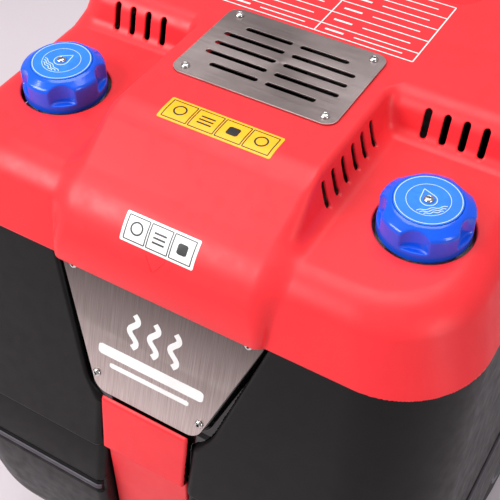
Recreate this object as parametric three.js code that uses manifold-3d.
// A commercial steam cleaner: a wheeled black body with a red moulded cover, two blue water
// caps, a vented top, a push handle and an operator's panel at the rear.
// Millimetres, +Z up. X runs across the machine, -Y is its front, and the origin lies on the
// floor under the middle of its box.
import * as THREE from 'three';
import { ConvexGeometry } from 'three/addons/geometries/ConvexGeometry.js';
import { mergeVertices } from 'three/addons/utils/BufferGeometryUtils.js';
import Module from 'manifold-3d';

const wasm = await Module();
wasm.setup();

// ---------- driving dimensions ----------
const GAP = 0.4; // clearance between pieces that touch or pass through each other
const WALL = 5; // moulded shells
const FAR = 600; // longer than any cut has to reach
const THROUGH = 20; // how far a hole's tool reaches on each side of a thin wall

const frontY = -433; // foremost point of the lower body
const rearY = 433; // rearmost point of the push handle
const bodyRearY = 230;
const bodyBottomZ = 130;
const deckZ = 740; // the level shoulders that carry the caps
const coverEdgeZ = 664.5; // lower edge of the red cover
const creaseZ = 436; // the upper shell overhangs the lower one here
const bumperZ = 368.5;
const handleTopZ = 950;

const capX = 202;
const capY = -218;
const capHoleRadius = 46.6;

const plateY = -125; // centre of the vented top plate
const plateZ = 781.6; // top of the cover under the plate
const topFall = 0.02; // the top drops this much per millimetre towards the rear
const topTilt = Math.atan(topFall);
const topZ = (y) => plateZ - topFall * (y - plateY);

const axleY = 58;
const axleRadius = 10;
const wheelRadius = 150;
const wheelWidth = 56;
const wheelX = 278;
const archRadius = 165;

const casterX = 190;
const casterY = -255;
const casterTrail = 32;
const casterRadius = 50;
const casterWidth = 30;

const screwHeadRadius = 4.75; // M5 button head
const screwShankRadius = 2.5;
const screwHoleRadius = 2.9;

const root = new THREE.Group();

// ---------- materials ----------
const finish = (color, roughness, metalness = 0) =>
  new THREE.MeshStandardMaterial({ color, roughness, metalness });
const redPlastic = () => finish(0xe8383c, 0.42);
const blackPlastic = () => finish(0x2c2b2c, 0.5);
const blackGloss = () => finish(0x141414, 0.25);
const bluePlastic = () => finish(0x2a5fe8, 0.25);
const brushedSteel = () => finish(0x8f8885, 0.42, 1);
const polishedSteel = () => finish(0xd5d5d5, 0.15, 1);
const rubber = () => finish(0x1c1c1c, 0.85);
const darkSteel = () => finish(0x3a3c40, 0.5, 0.6);
const brass = () => finish(0xc9a04e, 0.3, 1);
const tankPlastic = () => finish(0xd9dcd6, 0.5);
const greyPlastic = () => finish(0x6a6d70, 0.55);
const clearGlass = () => finish(0xdfe8ea, 0.05);
const discPlastic = () => finish(0x3f97f2, 0.35);
const redKnob = () => finish(0xc8281f, 0.33);
const greenPlastic = () => finish(0x1fa05a, 0.35);
const blackPaint = () => finish(0x111111, 0.5);

// ---------- solids: three.js shapes, joined and cut by manifold-3d ----------
function solid(geometry) {
  const bare = geometry.clone();
  bare.deleteAttribute('normal');
  bare.deleteAttribute('uv');
  const merged = mergeVertices(bare, 1e-4);
  const vertProperties = Float32Array.from(merged.attributes.position.array);
  const triVerts = Uint32Array.from(merged.index.array);
  return new wasm.Manifold(new wasm.Mesh({ numProp: 3, vertProperties, triVerts }));
}

function geometryOf(manifold) {
  const mesh = manifold.getMesh();
  const geometry = new THREE.BufferGeometry();
  geometry.setAttribute('position', new THREE.BufferAttribute(mesh.vertProperties, 3));
  geometry.setIndex(new THREE.BufferAttribute(mesh.triVerts, 1));
  geometry.computeVertexNormals();
  return geometry;
}

function add(name, shape, material, parent = root) {
  const geometry = shape.isBufferGeometry ? shape : geometryOf(shape);
  const mesh = new THREE.Mesh(geometry, material);
  mesh.name = name;
  parent.add(mesh);
  return mesh;
}

const union = (solids) => solids.reduce((sum, next) => sum.add(next));
const cut = (base, tools) => tools.reduce((left, tool) => left.subtract(tool), base);

// A closed outline whose corners [x, y, radius] are rounded.
function outline(corners) {
  const shape = new THREE.Shape();
  corners.forEach(([x, y, radius], index) => {
    const corner = new THREE.Vector2(x, y);
    const towards = (other) => {
      const leg = new THREE.Vector2(other[0], other[1]).sub(corner);
      return corner.clone().add(leg.setLength(Math.min(radius, leg.length() / 2)));
    };
    const before = towards(corners.at(index - 1));
    const after = towards(corners[(index + 1) % corners.length]);
    if (index === 0) shape.moveTo(before.x, before.y);
    else shape.lineTo(before.x, before.y);
    if (radius > 0) shape.quadraticCurveTo(x, y, after.x, after.y);
  });
  shape.closePath();
  return shape;
}

const rectangle = (width, height, radius) =>
  outline([
    [-width / 2, -height / 2, radius],
    [width / 2, -height / 2, radius],
    [width / 2, height / 2, radius],
    [-width / 2, height / 2, radius],
  ]);

// A slot with round ends, long in x, or in y when it is upright.
function slotOutline(length, width, upright = false) {
  const shape = new THREE.Shape();
  const reach = (length - width) / 2;
  const turn = upright ? Math.PI / 2 : 0;
  const [x, y] = upright ? [0, reach] : [reach, 0];
  shape.absarc(x, y, width / 2, turn - Math.PI / 2, turn + Math.PI / 2);
  shape.absarc(-x, -y, width / 2, turn + Math.PI / 2, turn + (Math.PI * 3) / 2);
  shape.closePath();
  return shape;
}

// An outline drawn in one plane and extruded along the third axis, from one value to another.
const planes = {
  xy: [new THREE.Vector3(1, 0, 0), new THREE.Vector3(0, 1, 0), new THREE.Vector3(0, 0, 1)],
  yz: [new THREE.Vector3(0, 1, 0), new THREE.Vector3(0, 0, 1), new THREE.Vector3(1, 0, 0)],
  xz: [new THREE.Vector3(1, 0, 0), new THREE.Vector3(0, 0, 1), new THREE.Vector3(0, -1, 0)],
};
function prism(plane, shape, from, to, curveSegments = 2) {
  const depth = to - from;
  const settings = { depth, bevelEnabled: false, curveSegments };
  const geometry = new THREE.ExtrudeGeometry(shape, settings);
  const [right, up, out] = planes[plane];
  geometry.applyMatrix4(new THREE.Matrix4().makeBasis(right, up, out));
  const start = plane === 'xz' ? -to : from;
  return geometry.translate(...out.clone().multiplyScalar(start).toArray());
}
const polygon = (points) => outline(points.map(([x, y]) => [x, y, 0]));

function cylinder(axis, radius, from, to, [a, b] = [0, 0], segments = 16) {
  const geometry = new THREE.CylinderGeometry(radius, radius, to - from, segments);
  const middle = (from + to) / 2;
  if (axis === 'x') return geometry.rotateZ(-Math.PI / 2).translate(middle, a, b);
  if (axis === 'y') return geometry.translate(a, middle, b);
  return geometry.rotateX(Math.PI / 2).translate(a, b, middle);
}

// A profile of [radius, z] points turned about the Z axis.
function turned(profile, segments = 16) {
  const points = profile.map(([radius, z]) => new THREE.Vector2(radius, z));
  return new THREE.LatheGeometry(points, segments).rotateX(Math.PI / 2);
}

function box(x0, x1, y0, y1, z0, z1) {
  const geometry = new THREE.BoxGeometry(x1 - x0, y1 - y0, z1 - z0);
  return geometry.translate((x0 + x1) / 2, (y0 + y1) / 2, (z0 + z1) / 2);
}

// The smallest convex body around level outlines, each a rounded rectangle seen from above.
// rise lets a level follow the fall of the top.
function hull(levels) {
  const points = [];
  for (const { z, half, front, rear, frontRadius, rearRadius, rise = () => 0 } of levels) {
    const corners = [
      [-half, front, frontRadius],
      [half, front, frontRadius],
      [half, rear, rearRadius],
      [-half, rear, rearRadius],
    ];
    for (const { x, y } of outline(corners).getPoints(3)) {
      points.push(new THREE.Vector3(x, y, z + rise(y)));
    }
  }
  return solid(new ConvexGeometry(points));
}

const sides = [
  { side: 'left', sign: -1 },
  { side: 'right', sign: 1 },
];

// ---------- red cover ----------
const spineHalf = 119; // the raised centre, at its foot
const plateauHalf = 238; // the raised rear, at its top
const consoleTop = { y: 167, z: 775.7 }; // the rear slope that carries the controls
const consoleFoot = { y: bodyRearY, z: 686 };

// Every outer level moves in by the same inset, so an inset of WALL gives the hollow.
const insetLevel = (inset, { z, half, front, rear, ...rest }) => ({
  z: z - (z > coverEdgeZ ? inset : inset * 2),
  half: half - inset,
  front: front + inset,
  rear: rear - inset,
  ...rest,
});

function coverShoulders(inset) {
  const shared = { rear: 100, rearRadius: 0 };
  const levels = [
    { z: deckZ, half: 262, front: -304, frontRadius: 80, ...shared },
    { z: 733, half: 271, front: -326, frontRadius: 90, ...shared },
    { z: 718, half: 279, front: -339, frontRadius: 95, ...shared },
    { z: 695, half: 288.5, front: -350, frontRadius: 100, ...shared },
    { z: coverEdgeZ, half: 299.5, front: -360.8, frontRadius: 100, ...shared },
  ];
  return hull(levels.map((level) => insetLevel(inset, level)));
}

function coverSpine(inset) {
  const points = [];
  const pair = (x, y, z) => {
    points.push(new THREE.Vector3(x - inset, y + inset, z));
    points.push(new THREE.Vector3(inset - x, y + inset, z));
  };
  const flatFrontY = -254;
  const insideY = -70; // under the plateau, where the spine ends
  const edges = [
    { half: 98, drop: 0 },
    { half: 111, drop: 7 },
  ];
  for (const { half, drop } of edges) {
    const sink = drop + inset;
    pair(half, insideY, topZ(insideY) - sink);
    pair(half, flatFrontY - drop, topZ(flatFrontY) - sink);
    pair(half, -346 + drop / 2, 730 - sink);
    pair(half, -364 + drop / 2, 712 - sink);
    pair(half, -371 + drop / 2, 703 - sink);
  }
  const footZ = coverEdgeZ - inset * 2;
  pair(spineHalf - 10, -369, footZ);
  pair(spineHalf, -365.4, footZ);
  pair(spineHalf, insideY, footZ);
  pair(spineHalf, -300, deckZ - inset);
  pair(spineHalf, insideY, deckZ - inset);
  return solid(new ConvexGeometry(points));
}

function coverPlateau(inset) {
  const rise = (y) => topZ(y) - plateZ;
  const radii = { frontRadius: 24, rearRadius: 40 };
  const levels = [
    { z: plateZ, half: plateauHalf, front: -102, rear: consoleTop.y, rise, ...radii },
    { z: plateZ - 7, half: 250, front: -108, rear: consoleTop.y + 5, rise, ...radii },
    { z: deckZ + 4, half: 269, front: -116, rear: 189, ...radii },
    { z: consoleFoot.z, half: 290.5, front: -116, rear: consoleFoot.y, ...radii },
    { z: coverEdgeZ, half: 299.5, front: -116, rear: consoleFoot.y, ...radii },
  ];
  return hull(levels.map((level) => insetLevel(inset, level)));
}

const coverBody = (inset) =>
  union([coverShoulders(inset), coverSpine(inset), coverPlateau(inset)]);

const ventLength = 29;
const ventWidth = 7;
const ventZ = deckZ + 18;
const spineVentYs = [-244, -225, -206, -186, -167, -148];
const backVentXs = [152.7, 172.5, 192.2, 212];

const spineWallX = 114; // middle of the spine's side wall
const backWallY = -113; // middle of the plateau's front wall
function coverVents() {
  const slot = slotOutline(ventLength, ventWidth, true);
  const tools = [];
  for (const { sign } of sides) {
    for (const y of spineVentYs) {
      tools.push(prism('yz', slot, -THROUGH, THROUGH, 1).translate(sign * spineWallX, y, ventZ));
    }
    for (const x of backVentXs) {
      tools.push(prism('xz', slot, -THROUGH, THROUGH, 1).translate(sign * x, backWallY, ventZ));
    }
  }
  return tools.map(solid);
}

// The shallow tool tray behind the vented plate hangs below the top.
const tray = { half: 128, depth: 83, middleY: 108.5, floorZ: 752, radius: 28, wall: 4 };
function trayBlock(margin, floorZ, blockTopZ) {
  const shape = rectangle((tray.half + margin) * 2, tray.depth + margin * 2, tray.radius + margin);
  return solid(prism('xy', shape, floorZ, blockTopZ).translate(0, tray.middleY, 0));
}

// The console frame: its X runs across, its Y down the slope and its Z out of the panel.
const consolePanel = { width: 330, height: 94, thickness: 3, rim: 12 };
const consoleFrame = new THREE.Matrix4()
  .makeRotationX(-Math.atan2(consoleTop.z - consoleFoot.z, consoleFoot.y - consoleTop.y))
  .setPosition(0, (consoleTop.y + consoleFoot.y) / 2, (consoleTop.z + consoleFoot.z) / 2);

const ventPlate = { width: 182, depth: 126, thickness: 2, radius: 13 };
const ventPlateFrame = new THREE.Matrix4()
  .makeRotationX(-topTilt)
  .setPosition(0, plateY, plateZ + GAP);
const ventPlateScrews = [-1, 1].flatMap((x) => [-1, 1].map((y) => [x * 77.7, y * 51.7]));
const ventPlateRim = 17; // how far the plate overlaps the cover round its opening

// The opening under a plate that overlaps it by a rim.
const openingUnder = (width, height, rim) =>
  prism('xy', rectangle(width - rim * 2, height - rim * 2, rim), -THROUGH, THROUGH);

function topCover() {
  const trayWalls = trayBlock(tray.wall, tray.floorZ - tray.wall, plateZ - WALL);
  const shell = coverBody(0).subtract(coverBody(WALL)).add(trayWalls);
  const capHoles = sides.map(({ sign }) =>
    cylinder('z', capHoleRadius, deckZ - THROUGH, deckZ + THROUGH, [sign * capX, capY], 20));
  const plateHole = openingUnder(ventPlate.width, ventPlate.depth, ventPlateRim);
  const plateScrewHoles = ventPlateScrews.map(([x, y]) =>
    cylinder('z', screwHoleRadius, -THROUGH, THROUGH, [x, y], 8).applyMatrix4(ventPlateFrame));
  const panelHole = openingUnder(consolePanel.width, consolePanel.height, consolePanel.rim);
  const holes = [
    ...capHoles,
    ...plateScrewHoles,
    plateHole.applyMatrix4(ventPlateFrame),
    panelHole.applyMatrix4(consoleFrame),
  ].map(solid);
  return cut(shell, [trayBlock(0, tray.floorZ, plateZ + THROUGH), ...holes, ...coverVents()]);
}

add('top_cover', topCover(), redPlastic());

// ---------- vented steel plate on the cover ----------
const plateGroup = new THREE.Group();
plateGroup.applyMatrix4(ventPlateFrame);
root.add(plateGroup);

// Two columns of slots, shorter in the front and rear rows, where the screws are.
const grilleSlots = { pitch: 17.6, width: 6, startX: 4.5, middleY: -1, long: 70, short: 54.5 };

function grillePlate() {
  const shape = rectangle(ventPlate.width, ventPlate.depth, ventPlate.radius);
  const plate = solid(prism('xy', shape, 0, ventPlate.thickness));
  const tools = ventPlateScrews.map(([x, y]) =>
    cylinder('z', screwHoleRadius, -THROUGH, THROUGH, [x, y], 8));
  for (let row = -2; row <= 2; row += 1) {
    const length = Math.abs(row) === 2 ? grilleSlots.short : grilleSlots.long;
    const y = grilleSlots.middleY + row * grilleSlots.pitch;
    for (const { sign } of sides) {
      const slot = prism('xy', slotOutline(length, grilleSlots.width), -THROUGH, THROUGH);
      tools.push(slot.translate(sign * (grilleSlots.startX + length / 2), y, 0));
    }
  }
  return cut(plate, tools.map(solid));
}
add('grille_plate', grillePlate(), brushedSteel(), plateGroup);

// A domed screw: its head rests on z = 0 and its shank points down.
const screw = (length) =>
  turned([
    [0, -length],
    [screwShankRadius, -length],
    [screwShankRadius, 0],
    [screwHeadRadius, 0],
    [screwHeadRadius * 0.75, 2],
    [0, 2.6],
  ], 8);
ventPlateScrews.forEach(([x, y], index) => {
  const mesh = add(`grille_screw_${index + 1}`, screw(9), polishedSteel(), plateGroup);
  mesh.position.set(x, y, ventPlate.thickness + GAP);
});

// ---------- black body shells ----------
const shellTopZ = 662;

// A hollow, which has an inset, runs on past the open ends.
function upperBody(inset) {
  const shared = { rear: bodyRearY - inset, frontRadius: 98, rearRadius: 30 };
  const open = inset > 0 ? THROUGH : 0;
  return hull([
    { z: shellTopZ + open, half: 295.5 - inset, front: -357 + inset, ...shared },
    { z: creaseZ + inset, half: 308 - inset, front: -419 + inset, ...shared },
  ]);
}

// Below the bumper strip the front rolls back under the machine.
function lowerBody(inset) {
  const open = inset > 0 ? THROUGH : 0;
  const level = (z, half, front, rear, frontRadius = 100) => ({
    z,
    half: half - inset,
    front: front + inset,
    rear: rear - inset,
    frontRadius,
    rearRadius: 30,
  });
  return hull([
    level(creaseZ + open, 301, -410, bodyRearY),
    level(bumperZ, 310, -429, bodyRearY),
    level(320, 313, frontY, bodyRearY),
    level(240, 313, -426, bodyRearY, 110),
    level(200, 309, -412, bodyRearY, 120),
    level(170, 301, -393, 227, 130),
    level(150, 290, -370, 222, 130),
    level(bodyBottomZ + inset, 262, -316, 210, 86),
  ]);
}

const wholeBody = (inset) => upperBody(inset).add(lowerBody(inset));

// The front line of the centre panel, from its top to its foot, as [y, z].
const centreLine = [
  [-350.6, 663.5],
  [-396.1, 522],
  [-399.3, 518],
  [-412.5, 444],
  [-405, 440],
  [-405, 426],
  [-408, 300],
  [-403, 240],
  [-390, 200],
  [-371, 170],
  [-348, 150],
  [-322, 138],
];
const stripTopIndex = 2;
const stripHalf = 51.5;
// A sheet along such a line, from a front offset to a back offset, this wide on each side.
const shifted = (line, by) => line.map(([y, z]) => [y + by, z]);
function band(line, front, back, half) {
  const section = polygon([...shifted(line, back), ...shifted(line, front).reverse()]);
  return solid(prism('yz', section, -half, half));
}

// The opening between the two shells, seen from the front, grown or shrunk by a margin.
const openingHalf = [
  [54, 100],
  [54, 503],
  [72, 511],
  [125, 672],
];
function centreOpening(margin) {
  const right = openingHalf.map(([x, z]) => [x + margin, z]);
  const left = right.map(([x, z]) => [-x, z]).reverse();
  return solid(prism('xz', polygon([...right, ...left]), -FAR, -200));
}

const wheelWell = { innerX: 238, wall: 4 };
const rearPanelHalf = 236;
const chassisHalf = 228;

// Each shell is one side of the body: its skin, a lip round the opening at the front, and a
// wheel well, open at the rear for the panel and below for the chassis.
function sideShell(sign) {
  const wheelAt = [axleY, wheelRadius];
  const inFrontOfPanel = band(centreLine, -FAR, WALL + 1, FAR);
  const lips = centreOpening(WALL).intersect(inFrontOfPanel).intersect(wholeBody(0));
  const { innerX, wall } = wheelWell;
  const well = cylinder('x', archRadius + wall, innerX, FAR, wheelAt, 24);
  const skin = wholeBody(0).subtract(wholeBody(WALL)).add(lips);
  const rightSkin = skin.intersect(solid(box(0, FAR, -FAR, FAR, 0, FAR * 2)));
  const floorCutZ = bodyBottomZ + WALL + 3;
  const right = cut(rightSkin.add(solid(well).intersect(wholeBody(0))), [
    centreOpening(0),
    solid(box(-1, rearPanelHalf + GAP, bodyRearY - 30, FAR, 0, FAR * 2)),
    solid(box(-1, chassisHalf + 4, -300, FAR, 0, floorCutZ)),
    solid(box(-1, 60, -FAR, -290, 0, floorCutZ)),
    solid(cylinder('x', archRadius, innerX + wall, FAR, wheelAt, 24)),
    solid(cylinder('x', axleRadius + GAP, innerX - THROUGH, innerX + THROUGH, wheelAt, 12)),
  ]);
  return sign > 0 ? right : right.mirror([1, 0, 0]);
}

for (const { side, sign } of sides) {
  add(`${side}_side_shell`, sideShell(sign), blackPlastic());
}

// A protective strip that follows the body all round, open where the red strip passes.
const bumper = { height: 8, proud: 3, gapHalf: 56 };
function bumperStrip() {
  const reachX = 310 + bumper.proud;
  const ring = outline([
    [-reachX, -430 - bumper.proud, 100],
    [reachX, -430 - bumper.proud, 100],
    [reachX, bodyRearY + bumper.proud, 30],
    [-reachX, bodyRearY + bumper.proud, 30],
  ]);
  const strip = prism('xy', ring, bumperZ - bumper.height / 2, bumperZ + bumper.height / 2, 3);
  const passage = box(-bumper.gapHalf, bumper.gapHalf, -FAR, 0, 0, FAR);
  return cut(solid(strip), [wholeBody(-GAP), solid(passage)]);
}
add('bumper_strip', bumperStrip(), greyPlastic());

// ---------- centre of the front: panel, badge plate and red strip ----------
const panelDepth = 5;
const stripDepth = 4.1;
const badgeLean = THREE.MathUtils.degToRad(17.84);
const badgeFrame = new THREE.Matrix4()
  .makeRotationX(Math.PI / 2 - badgeLean)
  .setPosition(0, -398.7, 522);
const badge = { height: 144, topHalf: 117, footHalf: 61.5, thickness: 2 };
const badgeScrews = [[-100.6, 138.2], [100.6, 138.2], [-62.7, 20.4], [62.7, 20.4]];

function frontPanel() {
  const holes = badgeScrews.map(([x, y]) =>
    solid(cylinder('z', screwHoleRadius, -THROUGH, THROUGH, [x, y], 8).applyMatrix4(badgeFrame)));
  return cut(band(centreLine, 0, panelDepth, FAR).intersect(centreOpening(-GAP)), holes);
}
add('front_panel', frontPanel(), blackGloss());

const stripLine = centreLine.slice(stripTopIndex);
add('front_strip', band(stripLine, -GAP - stripDepth, -GAP, stripHalf), redPlastic());

const badgeGroup = new THREE.Group();
badgeGroup.applyMatrix4(badgeFrame);
root.add(badgeGroup);

function badgePlate() {
  const shape = outline([
    [-badge.footHalf, 0, 24],
    [badge.footHalf, 0, 24],
    [badge.topHalf, badge.height, 3],
    [-badge.topHalf, badge.height, 3],
  ]);
  const plate = solid(prism('xy', shape, -badge.thickness, 0));
  const holes = badgeScrews.map(([x, y]) =>
    cylinder('z', screwHoleRadius, -THROUGH, THROUGH, [x, y], 8));
  return cut(plate, holes.map(solid));
}
add('badge_plate', badgePlate(), brushedSteel(), badgeGroup);
badgeScrews.forEach(([x, y], index) => {
  const mesh = add(`badge_screw_${index + 1}`, screw(7), polishedSteel(), badgeGroup);
  mesh.position.set(x, y, GAP);
});

// ---------- water caps: gasket, cap body, disc and screw ----------
const cap = {
  radius: 43.5,
  baseZ: -2.8, // below the deck, inside the cover's hole
  ledgeZ: 7.5,
  shoulderZ: 23.4,
  topZ: 30.2,
  topRadius: 33,
  boreRadius: 34.4,
  ceilingZ: 20.8,
  scallops: 5,
  scallopRadius: 20.8,
  scallopReach: 57.4,
};
const capDisc = { radius: 31.1, thickness: 1.6 };
const neck = { outerRadius: 33, boreRadius: 28.5, topZ: 757 };

function capBody() {
  const cup = turned([
    [0, cap.ceilingZ],
    [cap.boreRadius, cap.ceilingZ],
    [cap.boreRadius, cap.baseZ],
    [cap.radius, cap.baseZ],
    [cap.radius, cap.shoulderZ],
    [cap.topRadius, cap.topZ],
    [0, cap.topZ],
  ], 24);
  const aboveZ = cap.topZ + THROUGH;
  const tools = [cylinder('z', screwHoleRadius, cap.ceilingZ + 2, aboveZ, [0, 0], 8)];
  for (let index = 0; index < cap.scallops; index += 1) {
    const angle = (index * 2 * Math.PI) / cap.scallops;
    const scallop = cylinder('z', cap.scallopRadius, cap.ledgeZ, aboveZ, [cap.scallopReach, 0], 16);
    tools.push(scallop.rotateZ(angle));
  }
  return cut(solid(cup), tools.map(solid));
}

// The gasket lies between the tank's neck and the ceiling of the cap.
function capGasket() {
  const footZ = neck.topZ - deckZ + GAP;
  const topOfGasket = cap.ceilingZ - GAP;
  const innerRadius = neck.boreRadius - 2;
  return turned([
    [innerRadius, footZ],
    [neck.outerRadius, footZ],
    [neck.outerRadius, topOfGasket],
    [innerRadius, topOfGasket],
    [innerRadius, footZ],
  ]);
}

const discFootZ = cap.topZ + GAP;
const discTopZ = discFootZ + capDisc.thickness;
function capDiscPlate() {
  const disc = cylinder('z', capDisc.radius, discFootZ, discTopZ, [0, 0], 20);
  const hole = cylinder('z', screwHoleRadius, discFootZ - 1, discTopZ + 1, [0, 0], 8);
  return solid(disc).subtract(solid(hole));
}

const capTurns = { left: 18, right: -9 }; // degrees, as each cap happens to be tightened
for (const { side, sign } of sides) {
  const group = new THREE.Group();
  group.position.set(sign * capX, capY, deckZ);
  group.rotation.z = THREE.MathUtils.degToRad(capTurns[side]);
  root.add(group);
  add(`${side}_cap_gasket`, capGasket(), rubber(), group);
  add(`${side}_cap`, capBody(), bluePlastic(), group);
  add(`${side}_cap_disc`, capDiscPlate(), discPlastic(), group);
  add(`${side}_cap_screw`, screw(9), polishedSteel(), group).position.z = discTopZ + GAP;
}

// ---------- water tanks ----------
const tank = {
  innerX: 112,
  outerX: 268,
  frontY: -308,
  rearY: -110,
  footZ: 430,
  topZ: 700,
  wall: 4,
  corner: 46,
  shoulder: 14, // height of the rounded foot and shoulder
  draft: 12, // how far they draw in
};
function waterTank(sign) {
  const middleX = (tank.innerX + tank.outerX) / 2;
  const shell = (inset) => {
    const level = (z, draft) => ({
      z,
      half: (tank.outerX - tank.innerX) / 2 - inset - draft,
      front: tank.frontY + inset + draft,
      rear: tank.rearY - inset - draft,
      frontRadius: tank.corner,
      rearRadius: tank.corner,
    });
    return hull([
      level(tank.footZ + inset, tank.draft),
      level(tank.footZ + tank.shoulder, 0),
      level(tank.topZ - tank.shoulder, 0),
      level(tank.topZ - inset, tank.draft),
    ]).translate([sign * middleX, 0, 0]);
  };
  const at = [sign * capX, capY];
  const neckOuter = solid(cylinder('z', neck.outerRadius, tank.topZ - 6, neck.topZ, at, 18));
  const boreFootZ = tank.topZ - THROUGH;
  const neckBore = solid(cylinder('z', neck.boreRadius, boreFootZ, neck.topZ + 1, at, 18));
  return shell(0).add(neckOuter).subtract(shell(tank.wall)).subtract(neckBore);
}
for (const { side, sign } of sides) {
  add(`${side}_tank`, waterTank(sign), tankPlastic());
}

// ---------- steam boiler, its heater and safety valve ----------
const boiler = { x: 0, y: -125, radius: 84, mouth: 32, footZ: 250, topZ: 690, dome: 26, wall: 3 };
const boilerWall = (inset) => [
  [boiler.mouth, boiler.footZ + inset],
  [boiler.radius * 0.7, boiler.footZ + 6 + inset],
  [boiler.radius - inset, boiler.footZ + boiler.dome],
  [boiler.radius - inset, boiler.topZ - boiler.dome],
  [boiler.radius * 0.7, boiler.topZ - 6 - inset],
  [0, boiler.topZ - inset],
];
const boilerShape = turned([...boilerWall(boiler.wall).reverse(), ...boilerWall(0)], 18);
add('boiler_vessel', boilerShape.translate(boiler.x, boiler.y, 0), brushedSteel());

// The heater's terminal cover hangs under its flange, and its element stands in the vessel.
const heater = { footZ: 205, flangeZ: 232, elementRadius: 18, elementTopZ: 530 };
const flangeTopZ = boiler.footZ - GAP;
const heaterFlange = turned([
  [0, heater.footZ],
  [30, heater.footZ],
  [30, heater.flangeZ],
  [58, heater.flangeZ],
  [58, flangeTopZ],
  [heater.elementRadius, flangeTopZ],
  [heater.elementRadius, heater.elementTopZ - 10],
  [0, heater.elementTopZ],
]);
add('heater_flange', heaterFlange.translate(boiler.x, boiler.y, 0), darkSteel());

const valveFootZ = boiler.topZ + GAP;
const safetyValve = turned([
  [0, valveFootZ],
  [9, valveFootZ],
  [9, valveFootZ + 14],
  [14, valveFootZ + 14],
  [14, valveFootZ + 26],
  [8, valveFootZ + 30],
  [8, valveFootZ + 52],
  [0, valveFootZ + 52],
], 12);
add('safety_valve', safetyValve.translate(boiler.x, boiler.y, 0), brass());

// ---------- feed pump and electrics ----------
const pump = { z: 195, motorRadius: 48, motorStartX: -150, motorEndX: -40, headEndX: 60 };
const motor = cylinder('x', pump.motorRadius, pump.motorStartX, pump.motorEndX, [0, pump.z]);
add('pump_motor', motor, darkSteel());
const pumpBlock = box(pump.motorEndX + GAP, pump.headEndX, -38, 38, pump.z - 35, pump.z + 37);
const pumpPort = cylinder('z', 11, pump.z + 30, pump.z + 67, [20, 0], 12);
add('pump_head', solid(pumpBlock).add(solid(pumpPort)), brass());

const electrics = { width: 180, height: 160, radius: 14, frontY: 110, rearY: 205, z: 540 };
const electricsShape = rectangle(electrics.width, electrics.height, electrics.radius);
const electricsBox = prism('xz', electricsShape, electrics.frontY, electrics.rearY);
add('electrical_box', electricsBox.translate(0, 0, electrics.z), greyPlastic());

// ---------- chassis and rear panel ----------
const chassis = { bottomZ: 130.6, thickness: 3, front: -288, rear: 222, rim: 26, saddleX: 200 };
function chassisTray() {
  const { bottomZ, thickness, front, rear, rim } = chassis;
  const half = chassisHalf;
  const floor = solid(box(-half, half, front, rear, bottomZ, bottomZ + thickness));
  const rims = [
    box(-half, half, front, front + thickness, bottomZ, bottomZ + rim),
    box(-half, half, rear - thickness, rear, bottomZ, bottomZ + rim),
  ].map(solid);
  const saddles = sides.map(({ sign }) => {
    const saddle = solid(box(-14, 14, axleY - 18, axleY + 18, bottomZ, wheelRadius + 16));
    return saddle.translate([sign * chassis.saddleX, 0, 0]);
  });
  const axleHole = solid(cylinder('x', axleRadius + GAP, -half, half, [axleY, wheelRadius], 12));
  return union([floor, ...rims, ...saddles]).subtract(axleHole);
}
add('chassis', chassisTray(), darkSteel());

const rearPanel = { frontY: 223, thickness: 4, footZ: 136, topZ: 660 };
const rearFaceY = rearPanel.frontY + rearPanel.thickness;
const couplings = { x: 110, z: 330, stem: 8, collar: 15, length: 34 };
const gland = { x: -150, z: 230, stem: 9 };
const drain = { x: 0, z: 190, stem: 7 };
const rearVents = { z: 500, rows: 6, pitch: 18, length: 160, width: 8 };
function rearPanelPlate() {
  const { frontY: front, footZ, topZ: top } = rearPanel;
  const plate = solid(box(-rearPanelHalf, rearPanelHalf, front, rearFaceY, footZ, top));
  const [toolFront, toolRear] = [front - THROUGH, rearFaceY + THROUGH];
  const hole = ({ stem, z }, x) =>
    cylinder('y', stem + GAP, toolFront, toolRear, [x, z], 16);
  const tools = [hole(gland, gland.x), hole(drain, drain.x)];
  for (const { sign } of sides) {
    tools.push(hole(couplings, sign * couplings.x));
  }
  for (let row = 0; row < rearVents.rows; row += 1) {
    const z = rearVents.z + (row - (rearVents.rows - 1) / 2) * rearVents.pitch;
    const shape = slotOutline(rearVents.length, rearVents.width);
    tools.push(prism('xz', shape, toolFront, toolRear).translate(0, 0, z));
  }
  return cut(plate, tools.map(solid));
}
add('rear_panel', rearPanelPlate(), blackPlastic());

// ---------- rear fittings: couplings, cable gland and drain valve ----------
const stemEnd = -14; // the stems reach this far in front of the panel's rear face

// A profile of [radius, distance behind the rear panel] points turned about the Y axis.
const rearTurned = (profile, x, z, segments = 12) => {
  const points = profile.map(([radius, y]) => new THREE.Vector2(radius, y));
  return new THREE.LatheGeometry(points, segments).translate(x, rearFaceY, z);
};

for (const { side, sign } of sides) {
  const coupling = rearTurned([
    [0, stemEnd],
    [couplings.stem, stemEnd],
    [couplings.stem, GAP],
    [couplings.collar, GAP],
    [couplings.collar, 10],
    [11, 13],
    [11, 22],
    [13.5, 24],
    [13.5, couplings.length],
    [6, couplings.length],
    [6, 8],
    [0, 8],
  ], sign * couplings.x, couplings.z);
  add(`${side}_steam_coupling`, coupling, brass());
}

const leadRadius = 4;
const glandShape = rearTurned([
  [leadRadius, stemEnd],
  [gland.stem, stemEnd],
  [gland.stem, GAP],
  [15, GAP],
  [15, 9],
  [11, 12],
  [gland.stem, 26],
  [leadRadius, 26],
  [leadRadius, stemEnd],
], gland.x, gland.z);
add('power_gland', glandShape, rubber());

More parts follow.
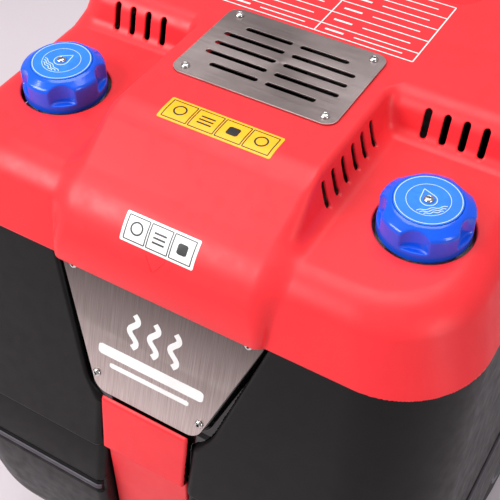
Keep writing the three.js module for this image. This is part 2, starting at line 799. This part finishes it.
const leverAxisY = rearFaceY + 22;
const leverFootZ = drain.z + 12 + GAP;
function drainBody() {
  const stem = rearTurned([
    [0, stemEnd],
    [drain.stem, stemEnd],
    [drain.stem, GAP],
    [12, GAP],
    [12, 8],
    [8, 10],
    [8, 34],
    [5, 34],
    [5, 30],
    [0, 30],
  ], drain.x, drain.z);
  const bonnet = cylinder('z', 5, drain.z, drain.z + 12, [drain.x, leverAxisY], 8);
  return solid(stem).add(solid(bonnet));
}
add('drain_valve_body', drainBody(), brass());

function drainLever() {
  const hub = cylinder('z', 7, leverFootZ, leverFootZ + 4.6, [drain.x, leverAxisY], 10);
  const arm = box(drain.x, drain.x + 46, leverAxisY - 4, leverAxisY + 4, leverFootZ, leverFootZ + 2.6);
  return solid(hub).add(solid(arm));
}
add('drain_valve_lever', drainLever(), redKnob());

// ---------- push handle ----------
const handle = { half: 214, radius: 14, footZ: 560, bend: 40 };
const handleBarY = rearY - handle.radius;
const handleBarZ = handleTopZ - handle.radius;

// One bent tube: out of the rear panel, up both sides and across at the top.
function handlePath() {
  const path = new THREE.CurvePath();
  const side = (sign) => [
    [sign * handle.half, rearFaceY + GAP, handle.footZ],
    [sign * handle.half, rearFaceY + 34, handle.footZ],
    [sign * handle.half, handleBarY, handleBarZ - 10],
    [sign * (handle.half - 10), handleBarY, handleBarZ],
  ].map((point) => new THREE.Vector3(...point));
  const corners = [...side(-1), ...side(1).reverse()];
  let from = corners[0];
  for (let index = 1; index < corners.length - 1; index += 1) {
    const corner = corners[index];
    const reach = (other) => {
      const leg = other.clone().sub(corner);
      return corner.clone().add(leg.setLength(Math.min(handle.bend, leg.length() / 2)));
    };
    const before = reach(corners[index - 1]);
    const after = reach(corners[index + 1]);
    path.add(new THREE.LineCurve3(from, before));
    path.add(new THREE.QuadraticBezierCurve3(before, corner, after));
    from = after;
  }
  path.add(new THREE.LineCurve3(from, corners.at(-1)));
  return path;
}
function handleTube() {
  const section = new THREE.Shape().absarc(0, 0, handle.radius, 0, Math.PI * 2);
  const settings = { steps: 38, bevelEnabled: false, curveSegments: 4, extrudePath: handlePath() };
  return new THREE.ExtrudeGeometry(section, settings);
}
add('push_handle', handleTube(), darkSteel());

// ---------- operator's console ----------
const consoleGroup = new THREE.Group();
consoleGroup.applyMatrix4(consoleFrame);
root.add(consoleGroup);
const panelFace = GAP + consolePanel.thickness;
const controls = {
  gauge: { x: 122, hole: 26 },
  mainSwitch: { x: 62, hole: 5 },
  rocker: { x: 14, hole: 0 },
  leftMoisture: { x: -34, hole: 4.4 },
  rightMoisture: { x: -82, hole: 4.4 },
  stop: { x: -130, hole: 8.4 },
};
const rockerHole = { width: 24, height: 38, radius: 2 };

function controlPanel() {
  const plate = prism('xy', rectangle(consolePanel.width, consolePanel.height, 10), GAP, panelFace);
  const tools = Object.values(controls)
    .filter(({ hole }) => hole > 0)
    .map(({ x, hole }) => cylinder('z', hole, -THROUGH, THROUGH, [x, 0], 16));
  const rockerShape = rectangle(rockerHole.width, rockerHole.height, rockerHole.radius);
  tools.push(prism('xy', rockerShape, -THROUGH, THROUGH).translate(controls.rocker.x, 0, 0));
  return cut(solid(plate), tools.map(solid));
}
add('control_panel', controlPanel(), blackGloss(), consoleGroup);

const gauge = { bodyRadius: 25.5, rimRadius: 30, dialRadius: 26, height: 8, dialHeight: 2 };
const gaugeBody = turned([
  [0, -18],
  [gauge.bodyRadius, -18],
  [gauge.bodyRadius, panelFace + GAP],
  [gauge.rimRadius, panelFace + GAP],
  [gauge.rimRadius, panelFace + gauge.height],
  [gauge.dialRadius, panelFace + gauge.height],
  [gauge.dialRadius, panelFace + gauge.dialHeight],
  [0, panelFace + gauge.dialHeight],
], 18);
add('gauge_body', gaugeBody, polishedSteel(), consoleGroup).position.x = controls.gauge.x;

const needleZ = panelFace + gauge.dialHeight + GAP;
function gaugeNeedle() {
  const hub = solid(cylinder('z', 3.2, needleZ, needleZ + 1.6, [0, 0], 12));
  const blade = polygon([[0, -1.2], [19, -0.4], [19, 0.4], [0, 1.2]]);
  return hub.add(solid(prism('xy', blade, needleZ, needleZ + 0.8)));
}
const needle = add('gauge_needle', gaugeNeedle(), blackPaint(), consoleGroup);
needle.position.x = controls.gauge.x;
needle.rotation.z = Math.PI / 4; // the operator sees it at the lower left, at no pressure

const lensZ = panelFace + gauge.height - 1;
const lens = cylinder('z', gauge.dialRadius - GAP, lensZ - 2, lensZ, [0, 0], 18);
add('gauge_lens', lens, clearGlass(), consoleGroup).position.x = controls.gauge.x;

// A round knob with a pointer rib, on a shaft that passes through the panel.
function knob(radius, height, shaftRadius) {
  const body = turned([
    [0, -10],
    [shaftRadius, -10],
    [shaftRadius, panelFace + GAP],
    [radius, panelFace + GAP],
    [radius, panelFace + height * 0.45],
    [radius * 0.82, panelFace + height * 0.6],
    [0, panelFace + height * 0.6],
  ], 14);
  const [ribX, ribY] = [radius * 0.24, radius * 0.9];
  const rib = box(-ribX, ribX, -ribY, ribY, panelFace + 3, panelFace + height);
  return solid(body).add(solid(rib));
}
const mainKnob = add('main_switch_knob', knob(19, 20, 4.5), redKnob(), consoleGroup);
mainKnob.position.x = controls.mainSwitch.x;
for (const { side } of sides) {
  const moistureKnob = add(`${side}_moisture_knob`, knob(14, 16, 4), blackPlastic(), consoleGroup);
  moistureKnob.position.x = controls[`${side}Moisture`].x;
}

const rockerSection = polygon([
  [-15.6, panelFace + 5.5],
  [0, panelFace + 2.6],
  [15.6, panelFace + 1.2],
  [12, -9],
  [-12, -9],
]);
const rocker = add('steam_rocker', prism('yz', rockerSection, -10.5, 10.5), greenPlastic(), consoleGroup);
rocker.position.x = controls.rocker.x;

const stopButton = turned([
  [0, -10],
  [8, -10],
  [8, panelFace + 6],
  [18, panelFace + 7],
  [19, panelFace + 13],
  [13, panelFace + 19],
  [0, panelFace + 20],
], 16);
add('emergency_stop', stopButton, redKnob(), consoleGroup).position.x = controls.stop.x;

// ---------- rear axle and wheels ----------
const axleEnd = wheelX + wheelWidth / 2 + 3;
const axle = cylinder('x', axleRadius, -axleEnd, axleEnd, [axleY, wheelRadius], 16);
add('rear_axle', axle, darkSteel());

// A round tread of flat facets: it stands on the middle of one, at its full radius.
function tread(profile, facets) {
  const stretch = 1 / Math.cos(Math.PI / facets);
  const stretched = profile.map(([radius, z]) => [radius * stretch, z]);
  return turned(stretched, facets).rotateZ(Math.PI / facets);
}

const tyre = { bore: 106, shoulder: 9, facets: 24 };
const wheelHalf = wheelWidth / 2;
function tyreRing() {
  return tread([
    [tyre.bore, -wheelHalf],
    [wheelRadius - tyre.shoulder, -wheelHalf],
    [wheelRadius, -wheelHalf + tyre.shoulder],
    [wheelRadius, wheelHalf - tyre.shoulder],
    [wheelRadius - tyre.shoulder, wheelHalf],
    [tyre.bore, wheelHalf],
    [tyre.bore, -wheelHalf],
  ], tyre.facets);
}

const hub = { bore: axleRadius + GAP, boss: 22, innerEnd: -24, web: 6, rim: tyre.bore - GAP };
function wheelHub() {
  const { bore, boss, innerEnd, web, rim } = hub;
  return tread([
    [bore, innerEnd],
    [boss, innerEnd],
    [boss, -web],
    [rim - 12, -web],
    [rim - 8, -wheelHalf],
    [rim, -wheelHalf],
    [rim, wheelHalf],
    [rim - 8, wheelHalf],
    [rim - 12, web],
    [boss, web],
    [boss, wheelHalf],
    [bore, wheelHalf],
    [bore, innerEnd],
  ], tyre.facets);
}

for (const { side, sign } of sides) {
  const group = new THREE.Group();
  group.position.set(sign * wheelX, axleY, wheelRadius);
  group.rotation.y = (sign * Math.PI) / 2;
  root.add(group);
  add(`${side}_tyre`, tyreRing(), rubber(), group);
  add(`${side}_hub`, wheelHub(), greyPlastic(), group);
}

// ---------- swivel casters ----------
const plateTopZ = chassis.bottomZ - GAP;
const forkTopZ = 120;
const fork = { thickness: 5, cheek: 3, clearance: 2, crownRadius: 30, kingpinRadius: 9, pinRadius: 5 };
const crownFootZ = forkTopZ - fork.thickness;

// The plate bolts under the chassis and carries the kingpin.
function casterPlate() {
  const plate = solid(prism('xy', rectangle(76, 84, 8), plateTopZ - 3, plateTopZ));
  const kingpin = cylinder('z', fork.kingpinRadius, forkTopZ - 4, plateTopZ - 2, [0, 0], 14);
  return plate.add(solid(kingpin));
}

// The fork holds the wheel's pin, behind the kingpin.
function casterFork() {
  const inside = casterWidth / 2 + fork.clearance;
  const outside = inside + fork.cheek;
  const cheek = polygon([
    [-20, crownFootZ],
    [24, crownFootZ],
    [casterTrail + 13, casterRadius],
    [casterTrail + 8, casterRadius - 12],
    [casterTrail - 8, casterRadius - 12],
    [casterTrail - 13, casterRadius],
  ]);
  const pieces = [
    cylinder('z', fork.crownRadius, crownFootZ, forkTopZ, [0, 0], 20),
    box(-outside, outside, -20, 24, crownFootZ, forkTopZ),
    prism('yz', cheek, -outside, -inside),
    prism('yz', cheek, inside, outside),
    cylinder('x', fork.pinRadius, -outside - 2, outside + 2, [casterTrail, casterRadius], 12),
  ];
  const boreRadius = fork.kingpinRadius + GAP;
  const bore = cylinder('z', boreRadius, crownFootZ - 1, forkTopZ + 1, [0, 0], 14);
  return union(pieces.map(solid)).subtract(solid(bore));
}

function casterWheel() {
  const half = casterWidth / 2;
  const shoulder = 5;
  const bore = fork.pinRadius + GAP;
  return tread([
    [bore, -half],
    [casterRadius - shoulder, -half],
    [casterRadius, -half + shoulder],
    [casterRadius, half - shoulder],
    [casterRadius - shoulder, half],
    [bore, half],
    [bore, -half],
  ], 20);
}

for (const { side, sign } of sides) {
  const group = new THREE.Group();
  group.position.set(sign * casterX, casterY, 0);
  root.add(group);
  add(`${side}_caster_plate`, casterPlate(), darkSteel(), group);
  add(`${side}_caster_fork`, casterFork(), polishedSteel(), group);
  const wheel = add(`${side}_caster_wheel`, casterWheel(), rubber(), group);
  wheel.position.set(0, casterTrail, casterRadius);
  wheel.rotation.y = Math.PI / 2;
}

export default root;
